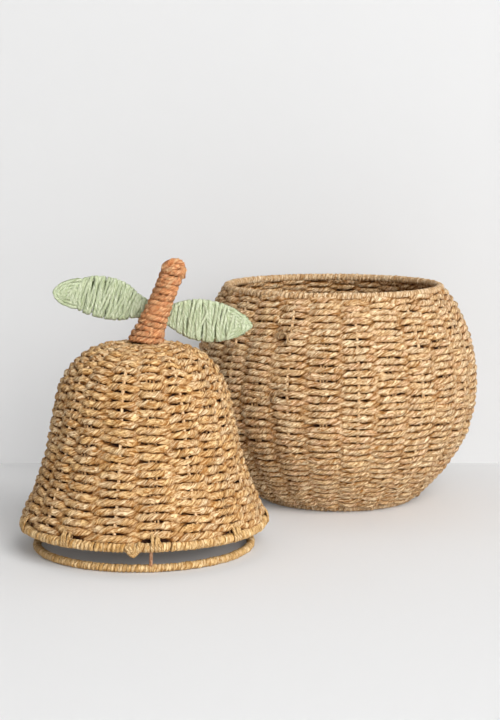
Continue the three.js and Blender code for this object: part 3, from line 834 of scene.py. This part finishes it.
def stem_fold(seed, radius, places):
    """A fold of rope over the stem's top. Places are sideways, forwards and up from its middle."""
    side = np.array([math.cos(STEM_LEAN), 0, -math.sin(STEM_LEAN)])
    top = STEM_FOOT + STEM_AXIS + np.array(LID_CENTRE)
    path = smooth_path(places, 36)
    points = top + path[:, :1] * side - path[:, 1:2] * np.array([0, 1.0, 0]) + path[:, 2:] * STEM_UP
    rng = np.random.default_rng(seed)
    return laid_rope(rng, points, points - top + 0.01 * STEM_UP, radius, STEM_LAY, depth=0.18,
                     dent=0.12)


parts = [
    stem_winding(),
    stem_fold(22, 3.0, [(-6.6, 2.4, -3.0), (-6.6, 3.0, 0.8), (-4.0, 3.6, 4.6), (0.0, 3.0, 7.0),
                        (3.9, 2.4, 5.8), (6.7, 2.2, 2.2), (7.0, 2.4, -1.4), (5.4, 3.6, -4.0)]),
    stem_fold(23, 2.8, [(-5.8, -2.4, -1.8), (-5.0, -2.8, 2.4), (-0.8, -2.8, 5.8), (3.6, -2.6, 4.8),
                        (6.4, -2.4, 0.8)]),
    stem_fold(24, 2.4, [(-5.4, 5.0, -2.0), (-3.2, 6.6, -0.2), (0.2, 7.0, 0.8), (3.2, 5.8, -1.0)]),
]
terracotta = paper_material(
    "terracotta_rope", (255, 214, 162), (255, 192, 134), (255, 196, 148), (206, 122, 68),
    (140, 70, 30), 0.3, 2.4, 1.0)
stem = mesh_piece("stem_rope", parts, terracotta)
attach(stem, "lid")
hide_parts("stem_winding")


# Leaves: mint paper cord wound crosswise over a wire outline, out from behind the stem on both
# sides. A close layer is covered by a looser one at changing slants, all pressed flat, and the tips
# are closed by cords bent round them.
LEAF_ROOT = np.array([10.1, 17.2, 179.4])
LEAF_HALF_WIDTH = 16.3
LEAF_LAY = 14.0
LEAF_STEPS = 72
TIP_START = 0.74
TIP_SHARE = 0.26
TIP_CORD = 1.6
mint_cord = paper_material(
    "mint_cord", (226, 231, 206), (214, 221, 190), (214, 220, 194), (166, 180, 134), (84, 104, 52),
    0.22, 2.0, 0.6)


def leaf_half_width(leaf, share):
    share = np.clip(share, 0, 1)
    pinch = leaf["pinch"]
    pinched = (1 - pinch * np.exp(-((share - 0.84) / 0.09) ** 2)
               - 0.4 * pinch * np.exp(-((share - 0.2) / 0.08) ** 2))
    return LEAF_HALF_WIDTH * pinched * np.sin(np.pi * share) ** (0.75 - 0.22 * share)


def leaf_place(leaf, share, across, forward):
    """A place on a leaf: share of the way out, millimetres up across it and millimetres forward."""
    way, rise = leaf["way"], math.radians(leaf["rise"])
    along = np.array([way * math.cos(rise), 0, math.sin(rise)])
    upward = np.array([-way * math.sin(rise), 0, math.cos(rise)])
    bowed = leaf["bow"] * upward * np.sin(np.pi * share)[:, None]
    middle = LEAF_ROOT + np.array(LID_CENTRE) + bowed
    return (middle + along * (share * leaf["length"])[:, None] + upward * across[:, None]
            - np.array([0, 1.0, 0]) * forward[:, None]), upward


def leaf_winding(rng, leaf, turns, lean, spread, pile, width):
    """Cord wound round and round a leaf, each pass at its own slant."""
    t = np.arange(turns * LEAF_STEPS) / LEAF_STEPS
    angle = 2 * np.pi * t
    slant = lean + np.interp(2 * t, np.arange(2 * turns + 1), rng.normal(0, spread, 2 * turns + 1))
    swing = np.sign(np.cos(angle)) * np.abs(np.cos(angle)) ** 0.7
    uneven = np.interp(t, np.arange(turns + 1), rng.normal(0, spread, turns + 1))
    base = 0.03 + 0.90 * (t + uneven) / turns
    share = base.copy()
    for _ in range(8):
        reach = np.maximum(leaf_half_width(leaf, share) - 0.6, 0.6)
        share = np.clip(base + slant * swing * reach / leaf["length"], 0.012, 0.97)
    lift = pile + np.interp(2 * t, np.arange(2 * turns + 1), rng.uniform(-0.2, 0.3, 2 * turns + 1))
    forward = lift * np.sign(np.sin(angle)) * np.abs(np.sin(angle)) ** 0.4
    points, upward = leaf_place(leaf, share, swing * reach, forward)
    outward = (upward * (2.0 * np.cos(angle))[:, None]
               + np.array([0, -1, 0]) * (8 * np.sin(angle))[:, None])
    run = run_lengths(points)
    even = np.linspace(0, run[-1], int(run[-1] / 1.5))
    points, outward = (np.stack([np.interp(even, run, part) for part in whole.T], 1)
                       for whole in (points, outward))
    return laid_rope(rng, points, outward, width, LEAF_LAY, folds=2, depth=0.12, sides=8, dent=0.1,
                     flat=0.6)


def leaf_tip(rng, leaf, inset, forward):
    """A cord bent round the tip of a leaf."""
    turn = np.linspace(-np.pi / 2, np.pi / 2, 30)
    share = TIP_START + (TIP_SHARE - inset / leaf["length"]) * np.cos(turn) ** leaf["tip_along"]
    width = leaf_half_width(leaf, TIP_START) - inset
    across = np.sign(turn) * width * np.abs(np.sin(turn)) ** leaf["tip_across"]
    points, _ = leaf_place(leaf, share, across, np.full(30, forward) + rng.uniform(-0.2, 0.2))
    return laid_rope(rng, points, np.tile([0, -1.0, 0], (30, 1)), TIP_CORD, LEAF_LAY, folds=2,
                     sides=8, dent=0.09, flat=0.8)


# A leaf's rise is in degrees, its way is the side it points to, and its middle is bowed up. It is
# pinched before the tip, and its loose layer leans. Two powers shape the tip: the left one is
# blunt, the right one pointed.
LEAVES = {
    "leaf_left": {"length": 81.5, "rise": 11.5, "way": -1, "bow": 3.6, "pinch": 0.38, "lean": -0.12,
                  "tip_along": 1.0, "tip_across": 1.2},
    "leaf_right": {"length": 74.5, "rise": -7.9, "way": 1, "bow": -1.0, "pinch": 0.12, "lean": 0.06,
                   "tip_along": 1.5, "tip_across": 1.7},
}
for seed, (name, leaf) in enumerate(LEAVES.items()):
    rng = np.random.default_rng(31 + seed)
    length = leaf["length"]
    layers = [leaf_winding(rng, leaf, int(length / 2.7), 0.0, 0.06, 1.2, 1.35),
              leaf_winding(rng, leaf, int(length / 3.0), leaf["lean"], 0.2, 2.0, 1.5)]
    for inset in (1.3, 3.9, 6.6, 9.4):
        layers += [leaf_tip(rng, leaf, inset, side * 1.5) for side in (-1, 1)]
    winding = mesh_piece(f"{name}_cord", layers, mint_cord)
    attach(winding, "lid")
    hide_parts(f"{name}_winding")


# Leaf wire: one thin wire bent to the outline of both leaves and passed behind the stem. The
# winding hides nearly all of it, and it has the winding's colour.
LEAF_WIRE = 0.8
LEAF_WIRE_INSET = 2.6
outline = []
for leaf in LEAVES.values():
    round_leaf = np.linspace(0, 1, 60)
    share = 0.5 - 0.5 * np.cos(2 * np.pi * round_leaf)
    width = np.maximum(leaf_half_width(leaf, share) - LEAF_WIRE_INSET, 0)
    across = np.where(round_leaf < 0.5, 1, -1) * width
    outline.append(leaf_place(leaf, share * 0.95, across, np.zeros(60))[0])
leaf_frame = mesh_piece("leaf_frame_wire", [
    wire(np.concatenate(outline), np.tile([0, -1.0, 0], (120, 1)), LEAF_WIRE)], mint_cord)
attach(leaf_frame, "lid")
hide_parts("leaf_wire")


# Stem core: the CAD's own solid, which the winding hides. It gets a coat of paper colour with a
# little grain.
def hidden_coat(name, light, dark):
    material = bpy.data.materials.new(name)
    material.use_nodes = True
    tree = material.node_tree
    shader = tree.nodes["Principled BSDF"]
    shader.inputs["Roughness"].default_value = 0.85
    place = add_node(tree, "ShaderNodeTexCoord", (-900, 0))
    grain = add_node(tree, "ShaderNodeTexNoise", (-700, 0))
    grain.inputs["Scale"].default_value = 420
    grain.inputs["Detail"].default_value = 3
    tree.links.new(place.outputs["Object"], grain.inputs["Vector"])
    mix = add_node(tree, "ShaderNodeMix", (-400, 0), data_type="RGBA")
    mix.inputs[6].default_value = dark
    mix.inputs[7].default_value = light
    tree.links.new(grain.outputs[0], mix.inputs["Factor"])
    tree.links.new(mix.outputs[2], shader.inputs["Base Color"])
    return material


stem_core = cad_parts["stem_core"]
stem_core.data.materials.clear()
stem_core.data.materials.append(
    hidden_coat("stem_core_coat", linear(200, 130, 92), linear(140, 82, 50)))


# Floor, backdrop and light: a pale studio whose wall stands close behind the basket, lit softly by
# a wide lamp from the front right and a weaker, lower one. Floor and wall glow a little where they
# are seen. The wall shows from the front only, so that the basket can be seen from behind too.
STAGE_SIZE = 12
BACKDROP_BEHIND = 0.145
FLOOR_GLOW = 0.05
BACKDROP_GLOW = 0.175
LAMP_AIM = (-0.05, -0.05, 0.1)
SKY_STRENGTH = 0.27


def stage_plane(name, place, turn, colour, glow, one_sided):
    bpy.ops.object.select_all(action="DESELECT")
    bpy.ops.mesh.primitive_plane_add(size=STAGE_SIZE, location=place, rotation=turn)
    plane = bpy.context.object
    plane.name = name
    material = bpy.data.materials.new(name)
    material.use_nodes = True
    tree = material.node_tree
    shader = tree.nodes["Principled BSDF"]
    shader.inputs["Base Color"].default_value = colour
    shader.inputs["Roughness"].default_value = 0.9
    shader.inputs["Specular IOR Level"].default_value = 0.1
    rays = add_node(tree, "ShaderNodeLightPath", (-500, 300))
    shine = add_node(tree, "ShaderNodeEmission", (-300, 300))
    level = add_node(tree, "ShaderNodeMath", (-400, 100), operation="MULTIPLY")
    level.inputs[1].default_value = glow
    seen = rays.outputs["Is Camera Ray"]
    for k, kind in enumerate(("Is Glossy Ray", "Is Transmission Ray")):
        either = add_node(tree, "ShaderNodeMath", (-500 + 150 * k, -100), operation="MAXIMUM")
        tree.links.new(seen, either.inputs[0])
        tree.links.new(rays.outputs[kind], either.inputs[1])
        seen = either.outputs[0]
    tree.links.new(seen, level.inputs[0])
    tree.links.new(level.outputs[0], shine.inputs["Strength"])
    total = add_node(tree, "ShaderNodeAddShader", (200, 200))
    tree.links.new(shader.outputs[0], total.inputs[0])
    tree.links.new(shine.outputs[0], total.inputs[1])
    surface = total.outputs[0]
    if one_sided:
        side = add_node(tree, "ShaderNodeNewGeometry", (-100, 500))
        clear = add_node(tree, "ShaderNodeBsdfTransparent", (-100, 350))
        choice = add_node(tree, "ShaderNodeMixShader", (400, 300))
        tree.links.new(side.outputs["Backfacing"], choice.inputs[0])
        tree.links.new(surface, choice.inputs[1])
        tree.links.new(clear.outputs[0], choice.inputs[2])
        surface = choice.outputs[0]
    tree.links.new(surface, tree.nodes["Material Output"].inputs["Surface"])
    plane.data.materials.append(material)


stage_plane("floor", (0, 0, 0), (0, 0, 0), linear(218, 218, 218), FLOOR_GLOW, False)
stage_plane("backdrop", (0, BACKDROP_BEHIND, 0), (math.pi / 2, 0, 0), linear(184, 184, 184),
            BACKDROP_GLOW, True)


def lamp(name, place, watts, size):
    data = bpy.data.lights.new(name, "AREA")
    data.energy = watts
    data.size = size
    light = bpy.data.objects.new(name, data)
    light.location = place
    light.rotation_euler = (Vector(LAMP_AIM) - Vector(place)).to_track_quat("-Z", "Y").to_euler()
    bpy.context.scene.collection.objects.link(light)


lamp("key", (2.05, -3.60, 2.75), 254, 3.4)
lamp("fill", (0.80, -3.5, 0.55), 55, 2.4)
world = bpy.data.worlds.new("world")
world.use_nodes = True
sky = world.node_tree.nodes["Background"]
sky.inputs["Color"].default_value = (1, 1, 1, 1)
sky.inputs["Strength"].default_value = SKY_STRENGTH
bpy.context.scene.world = world

bpy.context.scene.view_settings.view_transform = "Standard"
